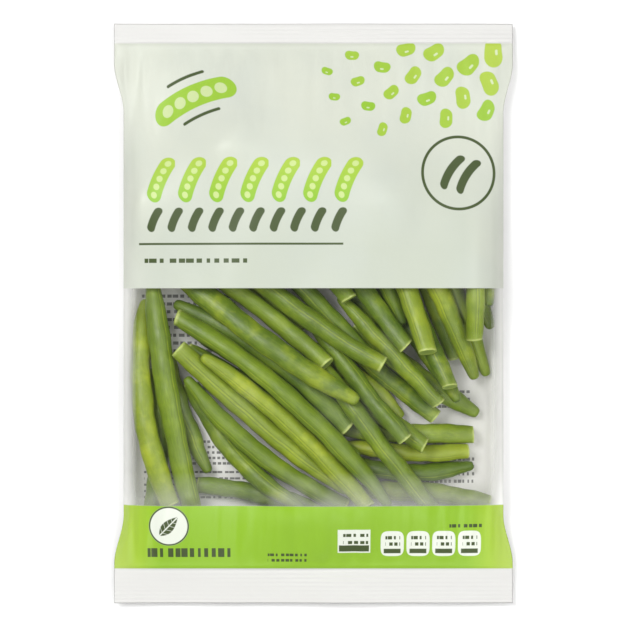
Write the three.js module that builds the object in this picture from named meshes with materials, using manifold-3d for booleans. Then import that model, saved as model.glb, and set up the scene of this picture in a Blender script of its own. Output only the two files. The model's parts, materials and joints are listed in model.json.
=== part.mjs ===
// A bundle of trimmed green beans in its sealed film bag, lying on its back.
// Millimetres. X runs across the bag, Y along it towards the top seal, Z up from the surface it lies on.
// The origin is on that surface, under the middle of the bag.
import * as THREE from "three";
import { mergeVertices } from "three/addons/utils/BufferGeometryUtils.js";
import Module from "manifold-3d";

// Driving dimensions of the bag
const BAG_LENGTH = 266;
const FLAT_WIDTH = 183; // the film tube pressed flat, as it is at both seals
const FILLED_WIDTH = 174; // the same tube drawn in where beans fill it
const TOP_SEAL = 9; // depth of the crimped strip at the top
const BOTTOM_SEAL = 16;
const WALL = 0.7; // film wall
const SIDE_HEIGHT = 9; // height of the side folds above the surface
const SIDE_CURL = 10; // how far in from a fold the back panel curls up to it
const SEAL_HEIGHT = 5;
const SEAL_CURL = 32;
const SEAM_WIDTH = 12; // the lengthwise seam on the back
const SEAM_DEPTH = 0.5;
const VENT_RADIUS = 1.5;
const VENTS = [
  [-24, 80],
  [24, 80],
];
const CLEARANCE = 0.45; // between any two pieces

// Driving dimensions of a bean
const SIDES = 8;
const STATIONS = 9;
const CUT_GIRTH = 0.86; // radius at the cut stem end, as a share of the full radius
const SWELL = 0.16; // share of the length over which that end swells to full girth
const TIP_GIRTH = 0.5;
const TAPER = 0.3; // share of the length over which the other end narrows

// How the pile settles when it is filled and the film presses on it
const PILE_TOP = 32;
const SETTLE_ROUNDS = 2000;
const LOOK_ROUND = 50; // rounds after which it is looked up again which beans are neighbours
const SINK = 0.03; // a round's fall
const PRESS = 0.3; // share of its height over the film that a bean is pressed down by in a round
const FLEX = 3; // how readily a bean bends up or down
const MOST_BEND = 2.2; // a third of the rise of its middle over its ends
const MOST_SLIDE = 6; // along X or Y from where the table puts it
const MOST_TURN = 0.08;
const SPRING_BACK = 0.003; // share of its slide and turn that it gives back in a round

// The beans from the lowest up: stem end x y, tip x y, sideways bow at the middle, radius.
// Bow is positive to the left of the way from stem end to tip.
const UNDER_TOP_PANEL = [
  [-80, 75, -80, 28, 2, 4.2],
  [-79, 23, -6, 70, 3, 4.3],
  [-82, 50, 8, 63, -3, 4.4],
  [-75, 68, 15, 80, 4, 4.2],
  [-60, 23, 38, 36, 4, 4.4],
  [-36, 16, -2, -6, 2, 4.1],
  [-6, 45, 77, 20, 3, 4.3],
  [12, 84, 80, 36, 4, 4.2],
  [-70, 84, 17, 45, -4, 4.4],
  [-29, 93, 65, 75, 4, 4.3],
  [26, 90, 80, 52, 3, 4.1],
];
const LOW_LAYER = [
  [-51, -72, 8, -86, 2, 4.0],
  [79, -85, 15, -78, -3, 4.2],
  [72, -56, 12, -50, 0, 4.2],
  [70, -64, 14, -57, 2, 3.9],
  [4, -66, 70, -65, -5, 4.1],
  [0, -11, 43, -47, 3, 4.0],
  [-6, 27, 36, -18, 2, 4.1],
  [8, -38, -63, -6, 3, 3.9],
  [17, -52, -63, 5, -6, 4.4],
];
const LEFT_GROUP = [
  [-74, -25, -52, -78, -2, 4.1],
  [-72, -87, -66, -22, -4, 4.2],
  [-62, -87, -80, 6, 7, 4.8],
  [-49, -87, -75, 20, 2, 5.0],
];
const MIDDLE_LAYER = [
  [-57, -33, -1, -86, -7, 4.1],
  [52, -59, -2, -22, 0, 4.2],
  [55, -50, 7, -4, 0, 4.0],
  [22, -2, 81, -38, -2, 4.5],
  [40, 65, 86, -8, 3, 4.3],
  [42, 60, 76, -28, 2, 4.2],
  [22, 17, 60, -46, 2, 4.1],
  [15, -86, -61, -30, 6, 4.3],
  [53, -43, 9, 7, 0, 4.1],
  [-53, -14, 27, -62, 1, 4.0],
  [58, -35, 29, 24, 0, 4.3],
  [40, -58, -7, 0, 1, 4.1],
];
const TOP_LAYER = [
  [-64, -20, 15, -84, -2, 4.9],
  [53, -91, 0, -25, 1, 4.4],
  [77, 85, 80, 0, 1, 4.2],
  [4, 70, 40, -6, 2, 4.2],
  [52, -19, 24, 69, -2, 4.7],
  [60, -20, 34, 63, 0, 3.7],
  [36, 58, 74, -28, 2, 4.6],
  [-37, 46, 33, -21, -2, 4.3],
  [40, -17, -3, 58, 2, 4.2],
  [75, -13, 71, 74, -2, 4.3],
  [24, -87, -54, -21, -4, 4.3],
  [-62, 0, 37, -85, 7, 4.5],
  [30, -26, -52, 42, 4, 4.6],
  [7, -23, -71, 37, -2, 4.2],
  [-58, 23, 19, -42, -3, 4.9],
  [13, 6, -35, 81, 0, 4.0],
];

// Colours, roughness and metalness
const FILM = new THREE.MeshStandardMaterial({
  color: 0xe6ece0,
  roughness: 0.25,
  metalness: 0,
  transparent: true,
  opacity: 0.35,
});
const POD_GREENS = [0x7fa32e, 0x6b8f2c, 0x8cae3c, 0x5f8229];
const PODS = POD_GREENS.map(
  (color) => new THREE.MeshStandardMaterial({ color, roughness: 0.45, metalness: 0 }),
);

const { clamp, lerp, smoothstep } = THREE.MathUtils;
const BOTTOM_END = -BAG_LENGTH / 2;
const TOP_END = BAG_LENGTH / 2;
const INSIDE_BOTTOM = BOTTOM_END + BOTTOM_SEAL;
const INSIDE_TOP = TOP_END - TOP_SEAL;

// Half of the bag's width at y: full at the seals, drawn in between them.
function halfWidth(y) {
  const end = smoothstep(Math.abs(y), 92, 115);
  return lerp(FILLED_WIDTH, FLAT_WIDTH, end) / 2;
}

// Height of the side folds at y, which come down to the height of the seals at the ends.
function foldHeight(y) {
  const inward = Math.min(y - INSIDE_BOTTOM, INSIDE_TOP - y);
  return lerp(SEAL_HEIGHT, SIDE_HEIGHT, smoothstep(inward, 0, SEAL_CURL));
}

// Height of the hollow's floor: flat, round at the sides, rising gently to the seals.
function floorHeight(x, y) {
  const side = clamp(1 - (halfWidth(y) - WALL - Math.abs(x)) / SIDE_CURL, 0, 1);
  const end = clamp(1 - Math.min(y - INSIDE_BOTTOM, INSIDE_TOP - y) / SEAL_CURL, 0, 1);
  const flat = SEAM_DEPTH + WALL;
  const sideRise = (foldHeight(y) - flat) * (1 - Math.sqrt(1 - side * side));
  const endRise = (SEAL_HEIGHT - flat) * end * end;
  return flat + Math.max(sideRise, endRise);
}

// A bean's centre line in plan, as evenly spaced points with the radius at each.
const LAY_STEPS = 40;
function planLine([x0, y0, x1, y1, bow, radius]) {
  const start = new THREE.Vector2(x0, y0);
  const end = new THREE.Vector2(x1, y1);
  const run = end.clone().sub(start);
  const side = new THREE.Vector2(-run.y, run.x).normalize().multiplyScalar(2 * bow);
  const middle = start.clone().lerp(end, 0.5).add(side);
  const curve = new THREE.QuadraticBezierCurve(start, middle, end);
  return curve.getSpacedPoints(LAY_STEPS).map((point, i) => {
    const share = i / LAY_STEPS;
    const stem = lerp(CUT_GIRTH, 1, smoothstep(share, 0, SWELL));
    const toTip = clamp((1 - share) / TAPER, 0, 1);
    const tip = lerp(TIP_GIRTH, 1, Math.sin((toTip * Math.PI) / 2));
    return { x: point.x, y: point.y, share, radius: radius * stem * tip };
  });
}

// A bean that is being laid: it can rise, tilt and bend, and slide and turn in plan.
function looseBean(row, n) {
  const cx = (row[0] + row[2]) / 2;
  const cy = (row[1] + row[3]) / 2;
  const points = planLine(row).map((point) => ({
    ...point,
    fromX: point.x - cx,
    fromY: point.y - cy,
    lever: point.share - 0.5,
    arch: 1 - 12 * (point.share - 0.5) ** 2,
  }));
  const length = Math.hypot(row[0] - row[2], row[1] - row[3]);
  const free = { x: 0, y: 0, turn: 0, z: 6 + n * 0.5, tilt: 0, bend: 0 };
  return { points, cx, cy, ease: 12 / (length * length), ...free };
}

const atX = (bean, point) => bean.cx + bean.x + point.fromX - bean.turn * point.fromY;
const atY = (bean, point) => bean.cy + bean.y + point.fromY + bean.turn * point.fromX;
const atZ = (bean, point) => bean.z + bean.tilt * point.lever + bean.bend * point.arch;

// How far a bean gives way at a point when it is pushed there along a direction.
function give(bean, point, nx, ny, nz) {
  const twist = point.fromX * ny - point.fromY * nx;
  const lift = 1 + 12 * point.lever ** 2 + FLEX * point.arch ** 2;
  return nz * nz * lift + nx * nx + ny * ny + bean.ease * twist * twist;
}

function push(bean, point, nx, ny, nz, amount) {
  const twist = point.fromX * ny - point.fromY * nx;
  bean.z += nz * amount;
  bean.tilt += 12 * point.lever * nz * amount;
  bean.bend = clamp(bean.bend + FLEX * point.arch * nz * amount, -MOST_BEND, MOST_BEND);
  bean.x = clamp(bean.x + nx * amount, -MOST_SLIDE, MOST_SLIDE);
  bean.y = clamp(bean.y + ny * amount, -MOST_SLIDE, MOST_SLIDE);
  bean.turn = clamp(bean.turn + bean.ease * twist * amount, -MOST_TURN, MOST_TURN);
}

// Every place where a bean lies near one that was laid before it.
function nearPlaces(beans) {
  const places = [];
  beans.forEach((upper, n) => {
    for (const lower of beans.slice(0, n))
      for (const a of upper.points)
        for (const b of lower.points) {
          const reach = a.radius + b.radius + CLEARANCE;
          const dx = atX(upper, a) - atX(lower, b);
          const dy = atY(upper, a) - atY(lower, b);
          if (Math.hypot(dx, dy) < reach + 2) places.push([upper, a, lower, b, reach]);
        }
  });
  return places;
}

function liftOffFloor(bean) {
  for (const point of bean.points)
    for (const offset of [-0.85, 0, 0.85]) {
      const x = atX(bean, point) + offset * point.radius;
      if (offset && Math.abs(x) < 60) continue;
      const drop = point.radius * Math.sqrt(1 - offset * offset) + CLEARANCE;
      const short = floorHeight(x, atY(bean, point)) + drop - atZ(bean, point);
      if (short > 0) push(bean, point, 0, 0, 1, short / give(bean, point, 0, 0, 1));
    }
}

// The film presses on what stands above its dome, and holds the beans in from the sides.
function pressIn(bean) {
  for (const point of bean.points) {
    const x = atX(bean, point);
    const across = Math.sqrt(Math.max(0.05, 1 - (x / 88) ** 6));
    const along = Math.sqrt(Math.max(0.05, 1 - (atY(bean, point) / 125) ** 4));
    const over = atZ(bean, point) + point.radius - PILE_TOP * across * along;
    if (over > 0) push(bean, point, 0, 0, -1, (PRESS * over) / give(bean, point, 0, 0, 1));
    const out = Math.abs(x) + point.radius + CLEARANCE + WALL + 2 - FILLED_WIDTH / 2;
    if (out > 0) push(bean, point, -Math.sign(x), 0, 0, out / give(bean, point, 1, 0, 0));
  }
}

// Parts two beans where they touch: the later one rides over, and both slide aside as far as that helps.
function part([upper, a, lower, b, reach]) {
  const dx = atX(upper, a) - atX(lower, b);
  const dy = atY(upper, a) - atY(lower, b);
  const apart = dx * dx + dy * dy;
  if (apart >= reach * reach) return;
  const rise = Math.sqrt(reach * reach - apart);
  const short = ((rise - (atZ(upper, a) - atZ(lower, b))) * rise) / reach;
  if (short <= 0) return;
  const [nx, ny, nz] = [dx / reach, dy / reach, rise / reach];
  const amount = short / (give(upper, a, nx, ny, nz) + give(lower, b, nx, ny, nz));
  push(upper, a, nx, ny, nz, amount);
  push(lower, b, nx, ny, nz, -amount);
}

// Lifts a bean clear of all that was laid before it, without moving those.
function liftClear(bean, places) {
  for (let round = 0; round < 400; round++) {
    let touched = false;
    for (const [upper, a, lower, b, reach] of places) {
      const dx = atX(upper, a) - atX(lower, b);
      const dy = atY(upper, a) - atY(lower, b);
      const rise = Math.sqrt(Math.max(0, reach * reach - dx * dx - dy * dy));
      const short = rise - (atZ(upper, a) - atZ(lower, b));
      if (rise === 0 || short < 0.002) continue;
      push(upper, a, 0, 0, 1, short / give(upper, a, 0, 0, 1));
      touched = true;
    }
    liftOffFloor(bean);
    if (!touched) return;
  }
}

function settle(rows) {
  const beans = rows.map(looseBean);
  let places = [];
  for (let round = 0; round < SETTLE_ROUNDS; round++) {
    if (round % LOOK_ROUND === 0) places = nearPlaces(beans);
    for (const bean of beans) {
      bean.z -= SINK;
      bean.x *= 1 - SPRING_BACK;
      bean.y *= 1 - SPRING_BACK;
      bean.turn *= 1 - SPRING_BACK;
      pressIn(bean);
    }
    places.forEach(part);
    beans.forEach(liftOffFloor);
  }
  places = nearPlaces(beans);
  for (const bean of beans) {
    const own = places.filter((place) => place[0] === bean);
    liftClear(bean, own);
  }
  return beans.map((bean) =>
    bean.points.map((point) => ({
      x: atX(bean, point),
      y: atY(bean, point),
      z: atZ(bean, point),
      radius: point.radius,
    })),
  );
}

function geometryFrom(position, index) {
  const geometry = new THREE.BufferGeometry();
  geometry.setAttribute("position", new THREE.Float32BufferAttribute(position, 3));
  geometry.setIndex(index);
  geometry.computeVertexNormals();
  return geometry;
}

// A closed loft through rings of equal point counts, with a flat cap at each end.
function loft(rings) {
  const position = rings.flat().flatMap((point) => [point.x, point.y, point.z]);
  const count = rings[0].length;
  const index = [];
  for (let r = 0; r + 1 < rings.length; r++)
    for (let k = 0; k < count; k++) {
      const a = r * count + k;
      const b = r * count + ((k + 1) % count);
      index.push(a, b, b + count, a, b + count, a + count);
    }
  const last = (rings.length - 1) * count;
  for (let k = 1; k + 1 < count; k++) {
    index.push(0, k + 1, k);
    index.push(last, last + k, last + k + 1);
  }
  return geometryFrom(position, index);
}

function beanGeometry(line) {
  const curve = new THREE.CatmullRomCurve3(line.map(({ x, y, z }) => new THREE.Vector3(x, y, z)));
  const up = new THREE.Vector3(0, 0, 1);
  const rings = [];
  for (let station = 0; station <= STATIONS; station++) {
    const share = station / STATIONS;
    const centre = curve.getPoint(share);
    const along = curve.getTangent(share);
    const across = new THREE.Vector3().crossVectors(up, along).normalize();
    const over = new THREE.Vector3().crossVectors(along, across);
    const { radius } = line[Math.round(share * LAY_STEPS)];
    const ring = Array.from({ length: SIDES }, (_, k) => {
      const angle = ((k + 0.5) / SIDES) * 2 * Math.PI;
      const point = centre.clone().addScaledVector(across, radius * Math.cos(angle));
      return point.addScaledVector(over, radius * Math.sin(angle));
    });
    rings.push(ring);
  }
  return loft(rings);
}

// The hollow of the bag is two grids, front and back, that share their rims.
// Columns stand closer together near the folds.
const COLUMNS = 26;
const ROWS = 30;
const EDGE_CROWDING = 0.55;
const columnShares = Array.from({ length: COLUMNS + 1 }, (_, i) => {
  const even = (2 * i) / COLUMNS - 1;
  return lerp(even, Math.sin((even * Math.PI) / 2), EDGE_CROWDING);
});
const rowPlaces = Array.from({ length: ROWS + 1 }, (_, j) =>
  lerp(INSIDE_BOTTOM, INSIDE_TOP, j / ROWS),
);
const gridX = (i, y) => columnShares[i] * (halfWidth(y) - WALL);
const onRim = (i, j) => i === 0 || i === COLUMNS || j === 0 || j === ROWS;

// Points over the upper half of every bean that the front panel must clear.
function crownPoints(lines) {
  return lines.flatMap((line) =>
    line.flatMap((point, n) => {
      const next = line[Math.min(n + 1, LAY_STEPS)];
      const last = line[Math.max(n - 1, 0)];
      const along = new THREE.Vector2(next.x - last.x, next.y - last.y).normalize();
      return [-1, -0.85, -0.5, 0, 0.5, 0.85, 1].map((sine) => ({
        x: point.x - along.y * sine * point.radius,
        y: point.y + along.x * sine * point.radius,
        z: point.z + point.radius * Math.sqrt(1 - sine * sine) + CLEARANCE + 0.15,
      }));
    }),
  );
}

// The three grid corners around a point in plan, with their shares of it.
function cornersAt({ x, y }) {
  const rise = ((y - INSIDE_BOTTOM) / (INSIDE_TOP - INSIDE_BOTTOM)) * ROWS;
  const j = clamp(Math.floor(rise), 0, ROWS - 1);
  const t = rise - j;
  const edge = (i) => lerp(gridX(i, rowPlaces[j]), gridX(i, rowPlaces[j + 1]), t);
  let i = 0;
  while (i < COLUMNS - 1 && edge(i + 1) < x) i++;
  const u = clamp((x - edge(i)) / (edge(i + 1) - edge(i)), 0, 1);
  const first = [i, j, 1 - Math.max(t, u)];
  const last = [i + 1, j + 1, Math.min(t, u)];
  const between = t <= u ? [i + 1, j, u - t] : [i, j + 1, t - u];
  return [first, between, last];
}

// The front panel's inner heights: a taut, slightly stiff skin, smoothed again and again and pushed up
// off the beans.
const SMOOTHINGS = 2500;
const LAST_PUSHES = 40;
const TAUTNESS = 0.25;
const STIFFNESS = 0.35;
function hollowness(grid) {
  return grid.map((row, j) =>
    row.map((height, i) => {
      if (onRim(i, j)) return 0;
      return (row[i - 1] + row[i + 1] + grid[j - 1][i] + grid[j + 1][i]) / 4 - height;
    }),
  );
}

function frontHeights(crowns) {
  const heights = rowPlaces.map((y) => columnShares.map(() => foldHeight(y)));
  const supports = crowns.map((crown) => {
    const corners = cornersAt(crown);
    const free = corners.filter(([i, j]) => !onRim(i, j));
    const pull = free.reduce((sum, corner) => sum + corner[2] ** 2, 0);
    return { z: crown.z, corners, free, pull };
  });
  for (let round = 0; round < SMOOTHINGS; round++) {
    if (round < SMOOTHINGS - LAST_PUSHES) {
      const sag = hollowness(heights);
      const change = hollowness(sag);
      for (let j = 1; j < ROWS; j++)
        for (let i = 1; i < COLUMNS; i++)
          heights[j][i] += TAUTNESS * sag[j][i] - STIFFNESS * change[j][i];
    }
    for (const { z, corners, free, pull } of supports) {
      const height = corners.reduce((sum, [i, j, share]) => sum + share * heights[j][i], 0);
      if (height >= z || pull < 0.01) continue;
      for (const [i, j, share] of free) heights[j][i] += (share * (z - height)) / pull;
    }
  }
  return heights;
}

// The closed skin between the front heights and the floor, pushed outwards by a distance.
function skin(heights, outwards) {
  const position = [];
  const sheets = ["front", "back"].map(() => []);
  for (const sheet of [0, 1])
    for (let j = 0; j <= ROWS; j++)
      for (let i = 0; i <= COLUMNS; i++) {
        const y = rowPlaces[j];
        const x = gridX(i, y);
        const corner = j * (COLUMNS + 1) + i;
        if (sheet === 1 && onRim(i, j)) {
          sheets[1][corner] = sheets[0][corner];
          continue;
        }
        const floor = Math.min(floorHeight(x, y), heights[j][i] - 0.1);
        sheets[sheet][corner] = position.length / 3;
        position.push(x, y, sheet === 0 ? heights[j][i] : floor);
      }
  const index = [];
  for (let j = 0; j < ROWS; j++)
    for (let i = 0; i < COLUMNS; i++) {
      const a = j * (COLUMNS + 1) + i;
      const [b, c, d] = [a + 1, a + COLUMNS + 2, a + COLUMNS + 1];
      const rimCorner = (i === 0 && j === ROWS - 1) || (i === COLUMNS - 1 && j === 0);
      const halves = rimCorner ? [a, b, d, b, c, d] : [a, b, c, a, c, d];
      index.push(...halves.map((corner) => sheets[0][corner]));
      index.push(...halves.reverse().map((corner) => sheets[1][corner]));
    }
  const geometry = geometryFrom(position, index);
  const { position: places, normal } = geometry.attributes;
  for (let n = 0; n < places.count; n++) {
    const place = new THREE.Vector3().fromBufferAttribute(places, n);
    place.addScaledVector(new THREE.Vector3().fromBufferAttribute(normal, n), outwards);
    places.setXYZ(n, place.x, place.y, place.z);
  }
  return geometry;
}

// A strip of film lying across the bag from one y to another, as thick as two walls.
function strip(from, to, steps) {
  const rings = Array.from({ length: steps + 1 }, (_, n) => {
    const y = lerp(from, to, n / steps);
    const z = foldHeight(y);
    const half = halfWidth(y);
    return [
      new THREE.Vector3(-half, y, z + WALL),
      new THREE.Vector3(half, y, z + WALL),
      new THREE.Vector3(half, y, z - WALL),
      new THREE.Vector3(-half, y, z - WALL),
    ];
  });
  return loft(rings);
}

// The seam along the back, from the bottom seal to the top one.
function backSeam() {
  const half = SEAM_WIDTH / 2;
  const rings = rowPlaces.map((y) => {
    const high = floorHeight(0, y) - WALL / 2;
    const low = high - WALL / 2 - SEAM_DEPTH;
    return [
      new THREE.Vector3(-half, y, high),
      new THREE.Vector3(half, y, high),
      new THREE.Vector3(half, y, low),
      new THREE.Vector3(-half, y, low),
    ];
  });
  return loft(rings);
}

const wasm = await Module();
wasm.setup();

function solid(geometry) {
  const bare = geometry.clone();
  bare.deleteAttribute("normal");
  bare.deleteAttribute("uv");
  const merged = mergeVertices(bare, 1e-4);
  return new wasm.Manifold(
    new wasm.Mesh({
      numProp: 3,
      vertProperties: merged.attributes.position.array,
      triVerts: new Uint32Array(merged.index.array),
    }),
  );
}

function bagGeometry(lines) {
  const heights = frontHeights(crownPoints(lines));
  let bag = solid(skin(heights, WALL));
  bag = bag.add(solid(strip(BOTTOM_END, INSIDE_BOTTOM + 1, 2)));
  bag = bag.add(solid(strip(INSIDE_TOP - 1, TOP_END, 2)));
  bag = bag.add(solid(backSeam()));
  bag = bag.subtract(solid(skin(heights, 0)));
  for (const [x, y] of VENTS) {
    const drill = new THREE.CylinderGeometry(VENT_RADIUS, VENT_RADIUS, 4, 12);
    drill.rotateX(Math.PI / 2).translate(x, y, 0);
    bag = bag.subtract(solid(drill));
  }
  const mesh = bag.getMesh();
  return geometryFrom([...mesh.vertProperties], [...mesh.triVerts]);
}

const bundle = new THREE.Group();
const lines = settle([
  ...UNDER_TOP_PANEL,
  ...LOW_LAYER,
  ...LEFT_GROUP,
  ...MIDDLE_LAYER,
  ...TOP_LAYER,
]);
lines.forEach((line, n) => {
  const bean = new THREE.Mesh(beanGeometry(line), PODS[n % PODS.length]);
  bean.name = `bean_${String(n + 1).padStart(2, "0")}`;
  bundle.add(bean);
});
const bag = new THREE.Mesh(bagGeometry(lines), FILM);
bag.name = "film_bag";
bundle.add(bag);

export default bundle;
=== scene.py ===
"""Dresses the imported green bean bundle: cut beans in a printed film bag with a clear window."""

import json
import math
import random

import bpy
import numpy as np
from bpy.props import FloatProperty, FloatVectorProperty, IntProperty, PointerProperty
from bpy.types import Operator, Panel, PropertyGroup
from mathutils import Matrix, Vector
from mathutils.bvhtree import BVHTree


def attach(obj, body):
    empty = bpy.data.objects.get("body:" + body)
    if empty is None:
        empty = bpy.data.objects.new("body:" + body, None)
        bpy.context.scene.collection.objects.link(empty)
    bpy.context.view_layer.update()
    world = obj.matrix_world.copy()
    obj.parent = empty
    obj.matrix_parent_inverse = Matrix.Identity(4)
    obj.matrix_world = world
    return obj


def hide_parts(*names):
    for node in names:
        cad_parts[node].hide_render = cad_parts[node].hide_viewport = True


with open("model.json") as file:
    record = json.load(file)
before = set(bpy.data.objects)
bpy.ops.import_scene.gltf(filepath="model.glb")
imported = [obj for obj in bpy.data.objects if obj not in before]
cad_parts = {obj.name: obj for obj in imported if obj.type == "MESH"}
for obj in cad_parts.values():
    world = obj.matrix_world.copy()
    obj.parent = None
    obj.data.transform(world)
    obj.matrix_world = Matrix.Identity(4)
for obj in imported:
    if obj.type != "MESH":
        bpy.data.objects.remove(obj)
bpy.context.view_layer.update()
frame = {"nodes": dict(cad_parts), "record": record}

bl_info = {
    "name": "Green Bean Bundle",
    "version": (1, 0, 0),
    "blender": (4, 5, 0),
    "location": "3D View > Sidebar > Green Beans",
    "description": "Models a bundle of cut green beans in its sealed film bag around a packed part",
    "category": "Object",
}

FILM_NODE = "film_bag"
BEAN_NODES = sorted(name for name in frame["nodes"] if name.startswith("bean_"))


# Settings that a user would change.


class BeanSettings(PropertyGroup):
    """Sizes and colours of the beans."""

    sides: IntProperty(
        name="Sides", description="Faces round a pod before smoothing", default=20, min=8
    )
    seed_swell: FloatProperty(
        name="Seed swell",
        description="How far a pod swells over each seed, as a share of its girth",
        default=0.034,
    )
    groove: FloatProperty(
        name="Seam groove",
        description="Depth of the groove along a pod's seams, as a share of its girth",
        default=0.05,
    )
    flatness: FloatProperty(
        name="Flatness",
        description="Width of a pod across its seams, as a share of its height",
        default=0.9,
    )
    fresh_green: FloatVectorProperty(
        name="Fresh green",
        description="Main skin colour",
        subtype="COLOR",
        default=(0.205, 0.305, 0.010),
    )
    deep_green: FloatVectorProperty(
        name="Deep green",
        description="Darker skin colour",
        subtype="COLOR",
        default=(0.060, 0.118, 0.005),
    )
    lime_green: FloatVectorProperty(
        name="Lime green",
        description="Palest skin colour",
        subtype="COLOR",
        default=(0.425, 0.49, 0.026),
    )
    cut_green: FloatVectorProperty(
        name="Cut end",
        description="Colour of a freshly cut end",
        subtype="COLOR",
        default=(0.36, 0.46, 0.075),
    )


class FilmSettings(PropertyGroup):
    """Sizes and colours of the film bag."""

    columns: IntProperty(
        name="Columns", description="Faces across each sheet of film", default=150
    )
    rows: IntProperty(name="Rows", description="Faces along each sheet of film", default=220)
    panel_edge: FloatProperty(
        name="Panel edge",
        description="Where the pale printed panel ends",
        default=0.0115,
        unit="LENGTH",
    )
    band_edge: FloatProperty(
        name="Band edge",
        description="Where the lime band begins",
        default=-0.0876,
        unit="LENGTH",
    )
    bottom_seal: FloatProperty(
        name="Bottom seal",
        description="Inner edge of the bottom seal",
        default=-0.117,
        unit="LENGTH",
    )
    top_seal: FloatProperty(
        name="Top seal",
        description="Inner edge of the top seal",
        default=0.124,
        unit="LENGTH",
    )
    crimp_pitch: FloatProperty(
        name="Crimp pitch",
        description="Spacing of the ridges across a seal",
        default=0.0019,
        unit="LENGTH",
    )
    crimp_depth: FloatProperty(
        name="Crimp depth",
        description="Height of those ridges",
        default=0.00022,
        unit="LENGTH",
    )
    panel_colour: FloatVectorProperty(
        name="Panel",
        description="Pale print of the upper panel",
        subtype="COLOR",
        default=(0.66, 0.685, 0.59),
    )
    band_colour: FloatVectorProperty(
        name="Band",
        description="Lime print along the bottom",
        subtype="COLOR",
        default=(0.29, 0.53, 0.03),
    )
    olive_ink: FloatVectorProperty(
        name="Olive ink",
        description="Dark print",
        subtype="COLOR",
        default=(0.062, 0.09, 0.03),
    )


class StageSettings(PropertyGroup):
    """The floor, the lights and the camera."""

    floor_colour: FloatVectorProperty(
        name="Floor",
        description="Colour of the floor",
        subtype="COLOR",
        default=(0.93, 0.93, 0.93),
    )
    photo_width: FloatProperty(
        name="Field width",
        description="Width of the view at the bag",
        default=0.2867,
        unit="LENGTH",
    )
    camera_height: FloatProperty(
        name="Camera height",
        description="Height of the camera over the floor",
        default=1.7,
        unit="LENGTH",
    )
    key_power: FloatProperty(
        name="Key power", description="Strength of the key light", default=12.9, unit="POWER"
    )


# Small tools for meshes.


def nothing_selected():
    bpy.ops.object.select_all(action="DESELECT")


def only_selected(thing):
    nothing_selected()
    thing.select_set(True)
    bpy.context.view_layer.objects.active = thing


def select_faces(thing, wanted):
    """In edit mode, selects the faces whose centre passes the test."""
    bpy.ops.mesh.select_all(action="DESELECT")
    bpy.ops.object.mode_set(mode="OBJECT")
    for face in thing.data.polygons:
        face.select = wanted(face.center)
    bpy.ops.object.mode_set(mode="EDIT")


def select_points(thing, wanted):
    """In edit mode, selects the vertices whose place passes the test."""
    bpy.ops.mesh.select_mode(type="VERT")
    bpy.ops.mesh.select_all(action="DESELECT")
    bpy.ops.object.mode_set(mode="OBJECT")
    for point in thing.data.vertices:
        point.select = wanted(point.co)
    bpy.ops.object.mode_set(mode="EDIT")


def merged_points(node):
    """The corners of a CAD node as an array, each once."""
    places = np.array([vertex.co for vertex in node.data.vertices])
    return np.unique(np.round(places, 6), axis=0)


def tree_of(nodes):
    """A search tree over CAD nodes, for rays."""
    places, faces = [], []
    for node in nodes:
        start = len(places)
        places += [vertex.co.copy() for vertex in node.data.vertices]
        faces += [[start + v for v in face.vertices] for face in node.data.polygons]
    return BVHTree.FromPolygons(places, faces)


# Shader maths.


class Value:
    """A shader socket that Python's operators work on."""

    def __init__(self, shader, socket):
        self.shader = shader
        self.socket = socket

    def maths(self, operation, *others, clamp=False):
        inputs = dict(enumerate((self, *others)))
        settings = {"operation": operation, "use_clamp": clamp}
        return self.shader.node("ShaderNodeMath", settings, inputs)

    def __add__(self, other):
        return self.maths("ADD", other)

    __radd__ = __add__

    def __sub__(self, other):
        return self.maths("SUBTRACT", other)

    def __rsub__(self, other):
        return self.shader.number(other).maths("SUBTRACT", self)

    def __mul__(self, other):
        return self.maths("MULTIPLY", other)

    __rmul__ = __mul__

    def __truediv__(self, other):
        return self.maths("DIVIDE", other)

    def __rtruediv__(self, other):
        return self.shader.number(other).maths("DIVIDE", self)

    def __abs__(self):
        return self.maths("ABSOLUTE")

    def least(self, other):
        return self.maths("MINIMUM", other)

    def most(self, other):
        return self.maths("MAXIMUM", other)

    def held(self):
        return self.maths("ADD", 0, clamp=True)

    def root(self):
        return self.maths("SQRT")

    def sine(self):
        return self.maths("SINE")

    def rounded(self):
        return self.maths("ROUND")

    def step(self, start, end):
        """0 below start and 1 above end, straight between them."""
        return ((self - start) * (1 / (end - start))).held()


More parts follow.
